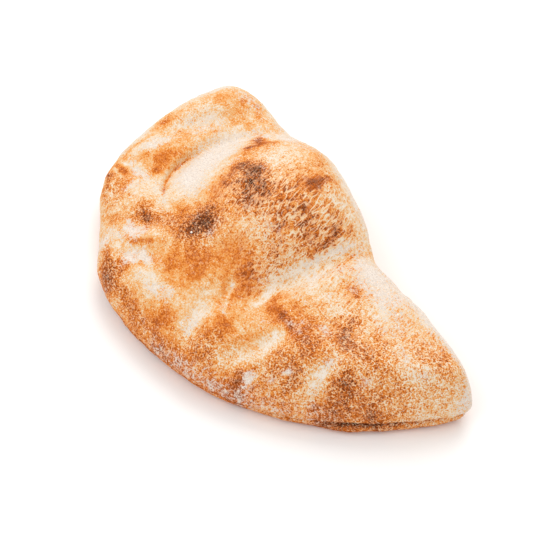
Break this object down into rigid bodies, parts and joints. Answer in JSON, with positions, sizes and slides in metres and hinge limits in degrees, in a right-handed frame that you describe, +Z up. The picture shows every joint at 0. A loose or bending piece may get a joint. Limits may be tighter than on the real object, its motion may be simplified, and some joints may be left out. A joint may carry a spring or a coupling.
{
  "type": "ham calzone",
  "caption": "Baked half-moon folded flatbread with a puffed bubble, soft pleats, a sealed curved rim and a flat base.",
  "frame": {"origin": "centre of the bounding box's bottom face, on the surface that the calzone rests on", "axes": "+X towards the pointed end, along the fold; +Y from the half-moon rim towards the fold; +Z up"},
  "size_m": [0.2862, 0.1622, 0.0734],
  "materials": {
    "baked_crust": "baked wheat dough, golden to orange brown in patches, pale in the creases, dusted with flour, matt"
  },
  "bodies": {
    "root": {"calzone": "baked_crust"}
  },
  "joints": []
}
